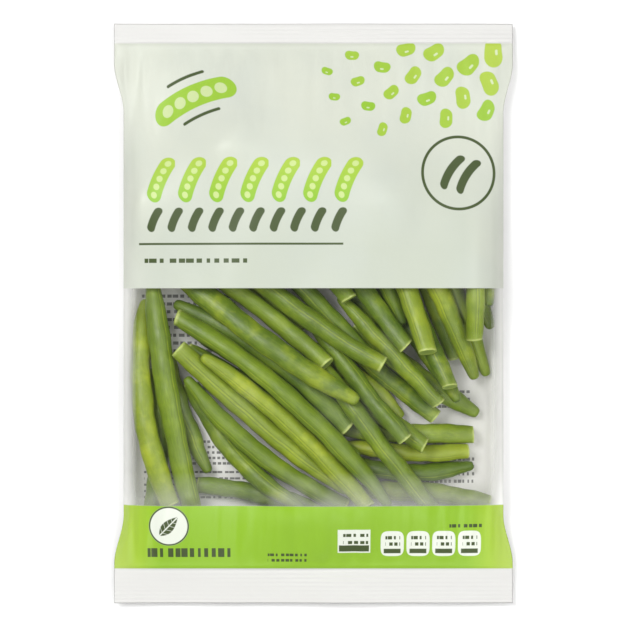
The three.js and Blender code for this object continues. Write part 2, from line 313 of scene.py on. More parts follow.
class Shader:
    """Builds one material's nodes."""

    def __init__(self, name):
        self.material = bpy.data.materials.new(name)
        self.material.use_nodes = True
        self.tree = self.material.node_tree
        self.tree.nodes.clear()
        self.output = self.tree.nodes.new("ShaderNodeOutputMaterial")

    def node(self, kind, settings=None, inputs=None, output=0):
        made = self.tree.nodes.new(kind)
        for name, setting in (settings or {}).items():
            setattr(made, name, setting)
        for name, value in (inputs or {}).items():
            socket = made.inputs[name]
            if isinstance(value, Value):
                self.tree.links.new(value.socket, socket)
            elif socket.type == "RGBA":
                socket.default_value = (*value, 1)
            else:
                socket.default_value = value
        return Value(self, made.outputs[output])

    def number(self, value):
        return self.node("ShaderNodeMath", {"operation": "ADD"}, {0: value, 1: 0})

    def where(self):
        """Object coordinates in metres, as one vector."""
        return self.node("ShaderNodeTexCoord", output="Object")

    def split(self, vector):
        """The three parts of a vector."""
        parts = self.tree.nodes.new("ShaderNodeSeparateXYZ")
        self.tree.links.new(vector.socket, parts.inputs[0])
        return [Value(self, socket) for socket in parts.outputs]

    def place(self):
        """Object coordinates in millimetres, as x, y and z."""
        return [part * 1000 for part in self.split(self.where())]

    def point(self, x, y, z=0.0):
        return self.node("ShaderNodeCombineXYZ", inputs={0: x, 1: y, 2: z})

    def noise(self, vector, scale, detail=2.0, roughness=0.5):
        inputs = {"Vector": vector, "Scale": scale, "Detail": detail, "Roughness": roughness}
        return self.node("ShaderNodeTexNoise", None, inputs)

    def chance(self, column, row):
        """A random value for each cell of a pattern."""
        settings = {"noise_dimensions": "2D"}
        inputs = {"Vector": self.point(column, row)}
        return self.node("ShaderNodeTexWhiteNoise", settings, inputs)

    def blend(self, share, first, second):
        """A colour between two, by a share."""
        settings = {"data_type": "RGBA"}
        return self.node("ShaderNodeMix", settings, {0: share, 6: first, 7: second}, output=2)

    def attribute(self, name, output):
        return self.node("ShaderNodeAttribute", {"attribute_name": name}, output=output)

    def bump(self, height, distance, strength=1.0):
        inputs = {"Height": height, "Distance": distance, "Strength": strength}
        return self.node("ShaderNodeBump", None, inputs)

    def surface(self, **inputs):
        named = {name.replace("_", " "): value for name, value in inputs.items()}
        skin = self.node("ShaderNodeBsdfPrincipled", None, named)
        self.tree.links.new(skin.socket, self.output.inputs["Surface"])
        return self.material


# Beans.

SEEDS_IN_A_POD = 8
POD_PATTERNS = 4
STEM_SHARE = 0.16
TIP_SHARE = 0.3
SLOW_SWELL = 0.028
NOSE = {0.988: 0.93, 0.996: 0.75, 1.0: 0.46}
CUT_SHARE = 0.0045
WOBBLE = 0.0003
ROLL = 0.75
WIDTHS = (1.07, 1.15)
CUT_TILTS = (("Y", -0.05, 0.38), ("Z", -0.22, 0.22))
SKIN_TINTS = {"bean_light": 1.0, "bean_mid": 0.45, "bean_yellow": 1.5, "bean_dark": 0.15}
# Colour of the painted shade in the seam grooves.
GROOVE_SHADE_GREEN = (0.045, 0.085, 0.008)
FRAYED_GREEN = (0.53, 0.60, 0.19)
HEART_GREEN = (0.25, 0.35, 0.06)
GRAIN_GREEN = (0.50, 0.58, 0.20)


def pod_girth(share, seed, swell):
    """A pod's girth along it: cut off nearly full at the stem end, narrowing to its tip."""
    stem = 0.86 + 0.14 * min(1, share / STEM_SHARE) ** 0.7
    reach = min(1, (1 - share) / TIP_SHARE)
    tip = 0.5 + 0.5 * math.sin(reach * math.pi / 2)
    seeds, long_wave, short_wave = (
        math.sin(2 * math.pi * (waves * share + seed * shift))
        for waves, shift in ((SEEDS_IN_A_POD, 0.37), (1.3, 0.61), (2.9, 0.23))
    )
    middle = min(1, 6 * share, 6 * (1 - share))
    swelling = swell * middle * seeds + SLOW_SWELL * middle * (long_wave + short_wave)
    return stem * tip * (1 + swelling)


def model_pod(name, seed, settings):
    """One pod along +X, a unit long and a unit in radius, extruded in rings from its cut end."""
    body = [0.03 + 0.93 * n / 38 for n in range(39)]
    shares = [0, 0.003, 0.012, *body, 0.975, *NOSE]
    nothing_selected()
    bpy.ops.mesh.primitive_circle_add(
        vertices=settings.sides, radius=1, fill_type="NGON", rotation=(0, -math.pi / 2, 0)
    )
    pod = bpy.context.object
    pod.name = name
    bpy.ops.object.transform_apply(location=True, rotation=True, scale=True)
    bpy.ops.object.mode_set(mode="EDIT")
    bpy.ops.mesh.select_all(action="SELECT")
    last_share, last_girth = 0.0, 1.0
    for share in shares:
        if share > last_share:
            move = {"value": (share - last_share, 0, 0)}
            bpy.ops.mesh.extrude_region_move(TRANSFORM_OT_translate=move)
        girth = pod_girth(share, seed, settings.seed_swell) * NOSE.get(share, 1)
        bpy.ops.transform.resize(value=(1, girth / last_girth, girth / last_girth))
        last_share, last_girth = share, girth
    select_faces(pod, lambda centre: centre.x < 1e-4)
    for inset, sink in ((0.13, 0.0022), (0.3, 0.0016)):
        bpy.ops.mesh.inset(thickness=inset, depth=0)
        bpy.ops.transform.translate(value=(sink, 0, 0))
    for side in (1, -1):
        select_points(
            pod, lambda co: abs(co.y) < 0.02 and co.z * side > 0.3 and 0.02 < co.x < 0.97
        )
        bpy.ops.transform.translate(value=(0, 0, -side * settings.groove))
    bpy.ops.mesh.select_all(action="SELECT")
    bpy.ops.transform.resize(value=(1, settings.flatness, 1), center_override=(0, 0, 0))
    bpy.ops.mesh.normals_make_consistent(inside=False)
    bpy.ops.object.mode_set(mode="OBJECT")
    along = pod.data.attributes.new("pod_along", "FLOAT", "POINT")
    around = pod.data.attributes.new("pod_around", "FLOAT_VECTOR", "POINT")
    for n, point in enumerate(pod.data.vertices):
        along.data[n].value = point.co.x
        girth = max(1e-6, math.hypot(point.co.y, point.co.z))
        around.data[n].vector = (point.co.y / girth, point.co.z / girth, girth)
    return pod


def bean_line(node):
    """The ring centres of a CAD bean from its cut end to its tip, and its full radius."""
    places = merged_points(node)
    centre = places.mean(0)
    axis = np.linalg.svd(places - centre)[2][0]
    order = np.argsort((places - centre) @ axis)
    reach = ((places - centre) @ axis)[order]
    gaps = np.sort(np.argsort(np.diff(reach))[-9:]) + 1
    rings = [ring for ring in np.split(places[order], gaps) if len(ring)]
    centres = [ring.mean(0) for ring in rings]
    girths = [np.linalg.norm(ring - middle, axis=1).mean() for ring, middle in zip(rings, centres)]
    if girths[0] < girths[-1]:
        centres.reverse()
    return [Vector(place) for place in centres], max(girths)


def skin_material(name, tint, settings):
    """Bean skin: mottled green with paler flanks, painted shade in the seam grooves and fine
    lengthwise streaks.
    """
    shader = Shader(name)
    along = shader.attribute("pod_along", "Fac")
    flank, ridge, _ = shader.split(shader.attribute("pod_around", "Vector"))
    shade = shader.attribute("pod_shade", "Fac")
    where = shader.where()
    patches = shader.noise(where, 62.0, 3.0, 0.55)
    freckles = shader.noise(where, 420.0, 2.0, 0.6)
    lengthwise = shader.point(along * 9, flank * 5 + shade * 7, ridge * 5)
    streaks = shader.noise(lengthwise, 2.4, 3.0, 0.6)
    depth = patches.step(0.3, 0.72) * 0.55 + streaks.step(0.32, 0.7) * 0.45 + (shade - 0.5) * 0.9
    skin = shader.blend(depth.held(), settings.deep_green, settings.fresh_green)
    pale = patches.step(0.5, 0.8) * 0.5 + (shade - 0.35) * 0.7 + freckles.step(0.55, 0.75) * 0.12
    skin = shader.blend(pale.held() * tint, skin, settings.lime_green)
    reach = along.step(0.015, 0.06) * (1 - along.step(0.93, 0.99)) * streaks.step(0.32, 0.55)
    # Painted shade: dark lines down the seam groove, either side of its pale cord.
    groove_shade = (1 - abs(abs(flank) - 0.13) / 0.06).held() * reach
    cord = (1 - abs(flank) / 0.09).held() * reach
    skin = shader.blend(groove_shade * 0.6, skin, GROOVE_SHADE_GREEN)
    skin = shader.blend(cord * 0.4, skin, settings.lime_green)
    stem_end = 1 - along.step(0.0, 0.05)
    skin = shader.blend(stem_end * 0.3, skin, settings.cut_green)
    frayed = along + (freckles - 0.5) * 0.016
    skin = shader.blend((1 - frayed.step(0.006, 0.013)) * 0.8, skin, FRAYED_GREEN)
    relief = streaks * 0.5 + freckles * 0.25 + patches * 0.4
    return shader.surface(
        Base_Color=skin,
        Roughness=freckles.step(0.2, 0.9) * 0.16 + 0.36,
        Specular_IOR_Level=0.5,
        Subsurface_Weight=0.08,
        Subsurface_Radius=(0.4, 1.0, 0.2),
        Subsurface_Scale=0.004,
        Coat_Weight=0.06,
        Coat_Roughness=0.24,
        Normal=shader.bump(relief, 0.0006, 0.5),
    )


def cut_material(settings):
    """The pale, moist flesh of a cut end, with a lighter rim."""
    shader = Shader("cut_end")
    girth = shader.split(shader.attribute("pod_around", "Vector"))[2]
    grain = shader.noise(shader.where(), 1400.0, 3.0, 0.6)
    flesh = shader.blend(girth.step(0.45, 0.85), HEART_GREEN, settings.cut_green)
    flesh = shader.blend(grain.step(0.4, 0.8) * 0.35, flesh, GRAIN_GREEN)
    relief = shader.bump(grain, 0.0004, 0.4)
    return shader.surface(Base_Color=flesh, Roughness=0.42, Normal=relief)


class OBJECT_OT_lay_green_beans(Operator):
    """Models a few cut pods and lays a copy of one along every bean of the part."""

    bl_idname = "object.lay_green_beans"
    bl_label = "Lay Green Beans"

    def execute(self, context):
        settings = context.scene.bean_settings
        patterns = [model_pod(f"pod_pattern_{n}", n + 1, settings) for n in range(POD_PATTERNS)]
        skins = {
            name: skin_material(f"{name}_skin", tint, settings)
            for name, tint in SKIN_TINTS.items()
        }
        cut = cut_material(settings)
        slots = {part["node"]: part["material_slot"] for part in frame["record"]["subparts"]}
        chance = random.Random(20)
        for number, node_name in enumerate(BEAN_NODES):
            node = frame["nodes"][node_name]
            slot = slots[node_name]
            bean = self.follow(patterns[number % POD_PATTERNS], *bean_line(node), chance)
            bean.name = f"pod_{number + 1:02d}"
            bean.data.name = bean.name
            bean.data.materials.append(skins[slot])
            bean.data.materials.append(cut)
            along = bean.data.attributes["pod_along"].data
            for face in bean.data.polygons:
                if all(along[v].value < CUT_SHARE for v in face.vertices):
                    face.material_index = 1
            shade = bean.data.attributes.new("pod_shade", "FLOAT", "POINT")
            value = chance.uniform(0.2, 0.85)
            shade.data.foreach_set("value", [value] * len(bean.data.vertices))
            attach(bean, "root")
            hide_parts(node_name)
        for pattern in patterns:
            bpy.data.objects.remove(pattern)
        return {"FINISHED"}

    def follow(self, pattern, centres, radius, chance):
        """A copy of the pattern, as long as the line and bent along it."""
        line = bpy.data.curves.new("bean_line", "CURVE")
        line.dimensions = "3D"
        line.twist_mode = "Z_UP"
        line.resolution_u = 8
        spline = line.splines.new("BEZIER")
        spline.bezier_points.add(len(centres) - 1)
        for n, (point, place) in enumerate(zip(spline.bezier_points, centres)):
            wobble = WOBBLE if 0 < n < len(centres) - 1 else 0
            aside = [chance.uniform(-wobble, wobble) for _ in range(2)]
            point.co = place + Vector((*aside, 0))
            point.handle_left_type = point.handle_right_type = "AUTO"
        guide = bpy.data.objects.new("bean_line", line)
        bpy.context.scene.collection.objects.link(guide)
        bpy.context.view_layer.update()
        only_selected(pattern)
        bpy.ops.object.duplicate(linked=False)
        bean = bpy.context.object
        bean.rotation_euler.x = chance.choice((0, 0, math.pi / 2)) + chance.uniform(-ROLL, ROLL)
        bpy.ops.object.transform_apply(location=False, rotation=True, scale=False)
        length = spline.calc_length()
        bean.scale = (length, radius * chance.uniform(*WIDTHS), radius)
        bpy.ops.object.transform_apply(location=False, rotation=False, scale=True)
        bpy.ops.object.mode_set(mode="EDIT")
        select_points(bean, lambda co: co.x < 0.02 * length)
        for axis, least, most in CUT_TILTS:
            turn = chance.uniform(least, most)
            bpy.ops.transform.rotate(value=turn, orient_axis=axis, center_override=(0, 0, 0))
        bpy.ops.object.mode_set(mode="OBJECT")
        bend = bean.modifiers.new("bend", "CURVE")
        bend.object = guide
        bend.deform_axis = "POS_X"
        bpy.ops.object.modifier_apply(modifier=bend.name)
        rounding = bean.modifiers.new("rounding", "SUBSURF")
        rounding.levels = rounding.render_levels = 1
        bpy.ops.object.modifier_apply(modifier=rounding.name)
        bpy.ops.object.shade_smooth()
        bpy.data.objects.remove(guide)
        return bean


# Film bag.


HALF_LENGTH = 0.133
HALF_WAIST = 0.087
SHOULDER = 0.0045
SEAL_HEIGHT = 0.005
SEAL_GAP = 0.00012
SEAL_MARKS = (-0.73, 0.83)
FOLD_RISE = 0.004
CREASES = ((0.011, 0.09, 0.0007), (0.0055, 0.05, 0.00032))
BROAD_WAVES = ((0.05, 0.07, 0.0009), (0.022, 0.035, 0.0003))
SEAM_HALF_WIDTH = 0.0068
BESIDE_SEAM = 0.0072
SEAM_STRIP = (0.0118, 0.2655)
SEAM_WALL = 0.0004
VENT_PLACE = (0.024, 0.08)
BESIDE_VENT = 0.0275


def eased(share):
    """A share between 0 and 1, made to start and end gently."""
    return share * share * (3 - 2 * share)


def half_width(y):
    """Half of the film's width at y, in metres: full at the seals, drawn in between them."""
    return HALF_WAIST + SHOULDER * eased(np.clip((np.abs(y) - 0.092) / 0.023, 0, 1))


def smoothed(heights, passes):
    """Heights averaged with their neighbours, again and again, with the rims left as they are."""
    for _ in range(passes):
        inner = heights[1:-1, 1:-1]
        around = heights[:-2, 1:-1] + heights[2:, 1:-1] + heights[1:-1, :-2] + heights[1:-1, 2:]
        heights[1:-1, 1:-1] = 0.4 * inner + 0.15 * around
    return heights


def ripples(x, y, waves, seed):
    """Smooth irregular waves, as a sum of sines with directions scattered about those given."""
    chance = random.Random(seed)
    total = np.zeros_like(x)
    for length_x, length_y, height in waves:
        for _ in range(5):
            turn_x = chance.uniform(0.6, 1.4) / length_x * chance.choice((-1, 1))
            turn_y = chance.uniform(0.2, 1.0) / length_y
            phase = chance.uniform(0, 6.28)
            wave = np.sin(2 * math.pi * (x * turn_x + y * turn_y) + phase)
            total += height / 5 * 1.8 * wave
    return total


def film_heights(tree, x, y, downwards, missing):
    """Heights that rays meet from above or from below; what they miss is filled in."""
    start, direction = (0.2, (0, 0, -1)) if downwards else (-0.1, (0, 0, 1))
    heights = np.array(missing, float)
    for n in np.ndindex(x.shape):
        hit = tree.ray_cast((x[n], y[n], start), direction)[0]
        if hit is not None:
            heights[n] = hit.z
    return heights


class OBJECT_OT_wrap_in_film(Operator):
    """Models the film bag: two sheets sealed at the ends and drawn over the beans."""

    bl_idname = "object.wrap_in_film"
    bl_label = "Wrap in Film"

    def execute(self, context):
        settings = context.scene.film_settings
        sheets = [self.sheet(name, settings) for name in ("film_front", "film_back")]
        self.shape(sheets, settings)
        only_selected(sheets[1])
        bpy.ops.object.mode_set(mode="EDIT")
        bpy.ops.mesh.select_all(action="SELECT")
        bpy.ops.mesh.flip_normals()
        bpy.ops.object.mode_set(mode="OBJECT")
        for sheet, material in zip(sheets, (front_film(settings), back_film(settings))):
            sheet.data.materials.append(material)
        nothing_selected()
        for sheet in sheets:
            sheet.select_set(True)
        context.view_layer.objects.active = sheets[0]
        bpy.ops.object.join()
        film = context.object
        film.name = film.data.name = "film"
        bpy.ops.object.mode_set(mode="EDIT")
        bpy.ops.mesh.select_all(action="SELECT")
        bpy.ops.mesh.remove_doubles(threshold=1e-6)
        bpy.ops.object.mode_set(mode="OBJECT")
        bpy.ops.object.shade_smooth()
        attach(film, "root")
        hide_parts(FILM_NODE)
        return {"FINISHED"}

    def sheet(self, name, settings):
        nothing_selected()
        bpy.ops.mesh.primitive_grid_add(
            x_subdivisions=settings.columns, y_subdivisions=settings.rows, size=2
        )
        sheet = bpy.context.object
        sheet.name = name
        return sheet

    def shape(self, sheets, settings):
        """Lays both grids over the CAD film, presses their ends flat and wrinkles them."""
        flat = np.array([vertex.co for vertex in sheets[0].data.vertices])
        order = np.lexsort((flat[:, 0], flat[:, 1]))
        grid = (settings.rows + 1, settings.columns + 1)
        u = flat[order, 0].reshape(grid)
        marks = (-1, *SEAL_MARKS, 1)
        ends = (-HALF_LENGTH, settings.bottom_seal, settings.top_seal, HALF_LENGTH)
        y = np.interp(flat[order, 1], marks, ends).reshape(grid)
        x = (0.35 * u + 0.65 * np.sin(u * math.pi / 2)) * half_width(y)
        inward = np.minimum(y - settings.bottom_seal, settings.top_seal - y)
        seal = inward <= 0.0003
        inside = np.abs(u) < 0.9999
        rim = np.isclose(np.abs(u), 1) | np.isclose(np.abs(y), HALF_LENGTH)
        fold = SEAL_HEIGHT + FOLD_RISE * eased(np.clip(inward / 0.032, 0, 1))
        front, back, crowns = self.over_beans(x, y, inside, fold)
        middle = self.pressed(x, y, inward, settings)
        front = np.where(seal, middle + SEAL_GAP, front)
        back = np.where(seal, middle - SEAL_GAP, back)
        front = front + self.wrinkles(x, y, inward, front - back)
        front = np.where(inside & ~seal, np.maximum(front, crowns + 0.00025), front)
        front = np.where(rim, np.where(seal, middle, fold), front)
        back = np.where(rim, front, back)
        back = np.minimum(back, front - 0.00005 * ~rim)
        for sheet, heights in zip(sheets, (front, back)):
            places = np.empty_like(flat)
            places[order] = np.stack([x.ravel(), y.ravel(), heights.ravel()], 1)
            sheet.data.vertices.foreach_set("co", places.ravel())
            sheet.data.update()

    def over_beans(self, x, y, inside, fold):
        """Heights of both sheets, the front held clear of the beans, and of the beans' tops."""
        film = tree_of([frame["nodes"][FILM_NODE]])
        beans = tree_of([frame["nodes"][name] for name in BEAN_NODES])
        beside = np.where(np.abs(x) < SEAM_HALF_WIDTH, np.copysign(BESIDE_SEAM, x), x)
        vent = np.hypot(np.abs(x) - VENT_PLACE[0], y - VENT_PLACE[1]) < 0.0025
        beside = np.where(vent, np.copysign(BESIDE_VENT, x), beside)
        front = np.where(inside, film_heights(film, x, y, True, fold), fold)
        back = np.where(inside, film_heights(film, beside, y, False, fold), fold)
        front = smoothed(front, 10)
        crowns = film_heights(beans, x, y, True, np.zeros_like(x))
        clear = smoothed(np.maximum(front, crowns + 0.0005) - front, 2)
        front = np.maximum(front + clear, crowns + 0.0003)
        return np.where(inside, smoothed(front, 2), fold), back, crowns

    def pressed(self, x, y, inward, settings):
        """Heights of the middle of a seal, which sways a little and is crimped across."""
        sway = 0.0006 * np.sin(x / 0.021 + 0.7) + 0.0004 * np.sin(x / 0.0087)
        crimp = settings.crimp_depth * np.sin(2 * math.pi * y / settings.crimp_pitch)
        crimp *= 0.55 + 0.45 * np.sin(x / 0.031 + y / 0.004)
        return SEAL_HEIGHT + sway * np.clip(-inward / 0.006, 0, 1) + crimp

    def wrinkles(self, x, y, inward, depth):
        """Creases beside the seals and broad waves elsewhere, where the film hangs free."""
        near_end = np.clip(inward / 0.004, 0, 1) * np.clip(1 - inward / 0.045, 0, 1)
        creases = ripples(x, y, CREASES, 5)
        broad = ripples(x, y, BROAD_WAVES, 8)
        slack = np.clip((depth - 0.002) / 0.006, 0, 1)
        return slack * (near_end * creases + broad * 0.7)


class OBJECT_OT_close_the_back(Operator):
    """Models the lapped seam up the middle of the back and the rims of its two steam vents."""

    bl_idname = "object.close_the_back"
    bl_label = "Close the Back"

    def execute(self, context):
        tree = tree_of([frame["nodes"][FILM_NODE]])
        nothing_selected()
        bpy.ops.mesh.primitive_grid_add(x_subdivisions=6, y_subdivisions=160, size=1)
        seam = context.object
        seam.name = seam.data.name = "back_seam"
        flat = np.array([vertex.co for vertex in seam.data.vertices])
        x, y = flat[:, 0] * SEAM_STRIP[0], flat[:, 1] * SEAM_STRIP[1]
        ripple = 0.00003 * np.sin(x / 0.00035)
        heights = film_heights(tree, x, y, False, np.zeros_like(x)) + 0.00004 + ripple
        seam.data.vertices.foreach_set("co", np.stack([x, y, heights], 1).ravel())
        only_selected(seam)
        lap = seam.modifiers.new("lap", "SOLIDIFY")
        lap.thickness, lap.offset = SEAM_WALL, 1
        bpy.ops.object.modifier_apply(modifier=lap.name)
        pieces = [seam]
        for side in (1, -1):
            nothing_selected()
            bpy.ops.mesh.primitive_torus_add(
                location=(side * VENT_PLACE[0], VENT_PLACE[1], 0.0005),
                major_radius=0.00172,
                minor_radius=0.0002,
                major_segments=40,
                minor_segments=10,
            )
            bpy.ops.object.transform_apply(location=True, rotation=True, scale=True)
            rim = context.object
            rim.name = rim.data.name = "vent_rim_right" if side > 0 else "vent_rim_left"
            pieces.append(rim)
        for piece in pieces:
            piece.data.materials.append(bpy.data.materials["film_back"])
            only_selected(piece)
            bpy.ops.object.shade_smooth()
            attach(piece, "root")
            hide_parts(FILM_NODE)
        return {"FINISHED"}


CLEAR_TINT = (0.80, 0.80, 0.77)
FILLED_PANEL = (0.535, 0.575, 0.485)
CLOUDED_PANEL = (0.62, 0.67, 0.615)
LIME_EDGE = (0.53, 0.67, 0.06)
SCATTER_LIMES = ((0.245, 0.50, 0.035), (0.42, 0.56, 0.07))
SCATTER_EYE = (0.66, 0.74, 0.52)
POD_LIMES = ((0.27, 0.51, 0.04), (0.40, 0.56, 0.06))
POD_SEED = (0.55, 0.68, 0.26)
LARGE_POD = (0.31, 0.53, 0.045)
LARGE_POD_SEED = (0.56, 0.67, 0.33)
LABEL_WHITE = (0.80, 0.84, 0.74)
SEAL_WHITE = (0.715, 0.71, 0.69)
BACK_TINT = (0.93, 0.915, 0.88)
BACK_INK = (0.16, 0.16, 0.15)

# Places and sizes of the print, in millimetres.
SCATTER_CORNER = (92, 128)
SCATTER_PITCH = 12.5
LARGE_POD_PLACE = (-55, 99)
RING_PLACE = (66, 64)
BADGE_PLACE = (-66, -97)

# Blocks of short bars, each as left, right, top, lines, pitch, height and run of its bars.
FRONT_BLOCKS = (
    (-77, -30, 24, 1, 4, 2.0, 4.2),
    (-76, -38, -109.5, 1, 7, 4.2, 3.4),
    (-21, -3, -110.5, 2, 2.6, 1.3, 2.2),
    (62, 78, -97, 1, 3, 1.6, 2.4),
    (13.5, 25, -101.2, 2, 3.4, 1.5, 2.8),
)
TAB_BLOCKS = ((-3.2, 3.6, -102.4, 2, 3.0, 1.6, 2.3),)
BACK_BLOCKS = (
    (-79, -36, 8, 8, 3.6, 1.5, 3.1),
    (-78, -64, -62, 1, 3, 8.5, 5.6),
    (-62, -34, -59, 5, 2.5, 1.2, 2.3),
    (-78, -30, -73, 5, 2.9, 1.0, 2.7),
    (55, 72, -36, 3, 3.4, 1.3, 2.7),
    (44, 74, -67, 4, 3.4, 1.5, 2.1),
)


def either(*masks):
    """Mask of all that any of the masks covers."""
    joined = masks[0]
    for mask in masks[1:]:
        joined = joined.most(mask)
    return joined


def turned(x, y, centre, turn):
    """Coordinates along and across a direction, from a centre."""
    cos, sin = math.cos(turn), math.sin(turn)
    along = (x - centre[0]) * cos + (y - centre[1]) * sin
    return along, (y - centre[1]) * cos - (x - centre[0]) * sin


def leaf(u, v, width):
    """Mask of a pointed leaf between u = -1 and 1, and of its ribs."""
    edge = ((1 - u * u) * (1 - u * 0.35)).least((1 - abs(u)) * 2.5) * width - abs(v)
    side_ribs = (abs((u * 9 - abs(v) * 0.8).sine()) - 0.12).step(0.14, 0)
    ribs = (0.42 - abs(v)).step(0, 0.3).most(side_ribs * 0.7)
    return edge.step(0, 0.35), ribs


def pod_shape(u, v, half, girth, bow):
    """Mask of a rounded, slightly bowed bar."""
    bowed = v + u * u * bow
    over = (abs(u) - half).most(0)
    return (girth - (over * over + bowed * bowed).root()).step(-0.15, 0.2)


def open_pod(u, v, half, girth, bow, pitch, seed_size):
    """Masks of a bowed pod and of the five seeds in it."""
    seed_u = row_of(u, -2 * pitch, pitch, 5)
    seeds = disc(seed_u, v + u * u * bow, (0, 0), seed_size)
    return pod_shape(u, v, half, girth, bow), seeds


def scattered_seeds(shader, x, y):
    """Masks of seeds scattered in rings from a corner and of their eyes, and their chances."""
    dx, dy = SCATTER_CORNER[0] - x, SCATTER_CORNER[1] - y
    far = (dx * dx + dy * dy).root()
    angle = dy.maths("ARCTAN2", dx)
    ring = (far / SCATTER_PITCH).rounded().most(1).least(7)
    pitch = 1.0 / ring
    offset = (ring * 2.3).sine() * 0.3 + 0.5
    sector = (angle / pitch - offset).rounded()
    chance = shader.chance(ring, sector)
    turn = (sector + offset) * pitch
    radius = ring * SCATTER_PITCH
    along, across = far - radius, (angle - turn) * radius
    lean = chance * 2.4 - 1.2
    norm = (lean * lean + 1).root()
    u, v = (along + across * lean) / norm, (across - along * lean) / norm
    length = 7.0 - ring * 0.62
    seeds = pod_shape(u, v, length * 0.36, length * 0.64, 0.03)
    eyes = pod_shape(u, v - length * 0.2, length * 0.12, length * 0.1, 0)
    middle_x = SCATTER_CORNER[0] - radius * (turn + math.pi / 2).sine()
    middle_y = SCATTER_CORNER[1] - radius * turn.sine()
    beside_ring = middle_y.step(80, 80.01) * (1 - middle_x.step(46, 46.01))
    shown = middle_y.step(87, 87.01).most(beside_ring)
    shown = shown * (1 - middle_y.step(121.5, 121.51)) * (1 - middle_x.step(86, 86.01))
    return seeds * shown, eyes, chance


def tablet(x, y, half_width, half_height):
    """Mask of a rectangle with rounded corners."""
    across, up = x * x / half_width**2, y * y / half_height**2
    return (1 - across * across - up * up).step(0, 0.12)


def row_of(x, left, pitch, count):
    """x measured from the nearest of a row of places."""
    return x - left - ((x - left) / pitch).rounded().most(0).least(count - 1) * pitch


def box_mask(x, y, left, right, bottom, top):
    """Mask of a plain rectangle."""
    side = (x - left).least(right - x)
    return side.least(y - bottom).least(top - y).step(-0.1, 0.15)


def disc(x, y, centre, radius):
    """Mask of a disc."""
    dx, dy = x - centre[0], y - centre[1]
    return (radius - (dx * dx + dy * dy).root()).step(-0.12, 0.15)


def dashes(shader, x, y, left, right, top, lines, pitch, height, run):
    """Mask of rows of short bars of uneven length."""
    row = ((top - y) / pitch).rounded()
    off = abs(top - y - row * pitch)
    cell = ((x - left) / run).rounded()
    chance = shader.chance(cell, row)
    along = abs(x - left - cell * run + (chance * 7.3).sine() * (0.14 * run))
    bar = (chance * 0.28 + 0.2) * run - along
    inside = box_mask(x, y, left, right, top - (lines - 0.5) * pitch, top + 0.5 * pitch)
    return bar.step(0, 0.15) * (height / 2 - off).step(-0.06, 0.08) * inside


def bar_blocks(shader, x, y, blocks):
    """Mask of several blocks of short bars."""
    return either(*(dashes(shader, x, y, *block) for block in blocks))


def seal_mask(y, settings):
    """Mask of both seals."""
    low, high = settings.bottom_seal * 1000, settings.top_seal * 1000
    return (1 - y.step(low - 0.2, low + 0.2)) + y.step(high - 0.2, high + 0.2)


def plain_areas(shader, x, y, cloud, settings):
    """Colour of the film under its motifs, with the masks of the pale panel and the lime band."""
    top, band = settings.panel_edge * 1000, settings.band_edge * 1000
    in_panel = y.step(top - 0.15, top + 0.15)
    in_band = 1 - y.step(band - 0.15, band + 0.15)
    filled = (1 - y.step(30, 95)) * (1 - abs(x).step(68, 84))
    panel = shader.blend(filled, settings.panel_colour, FILLED_PANEL)
    panel = shader.blend(cloud.step(0.35, 0.7) * 0.35, panel, CLOUDED_PANEL)
    colour = shader.blend(in_panel, CLEAR_TINT, panel)
    lime = shader.blend(abs(x).step(70, 87) * 0.55, settings.band_colour, LIME_EDGE)
    return shader.blend(in_band, colour, lime), in_panel, in_band


def lime_print(shader, x, y, colour):
    """The colour with the lime seeds and pods printed on it, and their mask."""
    scatter, eyes, chance = scattered_seeds(shader, x, y)
    tone = shader.blend(chance * 0.7 + y.step(85, 125) * 0.3, *SCATTER_LIMES)
    colour = shader.blend(scatter, colour, shader.blend(eyes * 0.8, tone, SCATTER_EYE))
    u, v = turned(row_of(x, -70, 14.2, 7), y, (0, 61.2), 1.15)
    pods, seeds = open_pod(u, v, 7.4, 3.5, 0.012, 3.9, 1.45)
    tone = shader.blend(y.step(52, 72), *POD_LIMES)
    colour = shader.blend(pods, colour, shader.blend(seeds, tone, POD_SEED))
    u, v = turned(x, y, LARGE_POD_PLACE, 0.42)
    large_pod, seeds = open_pod(u, v, 14.5, 5.4, 0.009, 6.6, 2.7)
    tone = shader.blend(seeds, LARGE_POD, LARGE_POD_SEED)
    return shader.blend(large_pod, colour, tone), either(scatter, pods, large_pod)


def olive_print(shader, x, y, tab_x):
    """Mask of all that is printed in olive on the front."""
    u, v = turned(row_of(x, -72.5, 9.3, 10), y, (0, 42.8), 1.15)
    masks = [pod_shape(u, v, 4.0, 1.9, 0.02), box_mask(x, y, -79.5, 13.5, 31.1, 32.1)]
    u, v = turned(x, y, LARGE_POD_PLACE, 0.42)
    masks += [pod_shape(u, v + u * u * 0.009 + side * 9.6, 8.5, 0.75, 0) for side in (1, -1)]
    for centre in ((62.2, 65), (69.6, 63)):
        u, v = turned(x, y, centre, 1.0)
        masks.append(pod_shape(u, v, 7, 1.96, 0.02))
    for centre, outer, inner in ((RING_PLACE, 17.2, 15.9), (BADGE_PLACE, 9.2, 8.5)):
        masks.append(disc(x, y, centre, outer) - disc(x, y, centre, inner))
    u, v = turned(x, y, BADGE_PLACE, 0.8)
    badge_leaf, ribs = leaf(u / 6.5, v, 2.8)
    masks.append(badge_leaf * (1 - ribs))
    masks.append(box_mask(tab_x, y, -3.9, 3.9, -109.8, -107.6))
    masks.append(box_mask(x, y, 11.6, 25.4, -108.9, -105.9))
    masks.append(bar_blocks(shader, x, y, FRONT_BLOCKS))
    masks.append(bar_blocks(shader, tab_x, y, TAB_BLOCKS))
    return either(*masks)


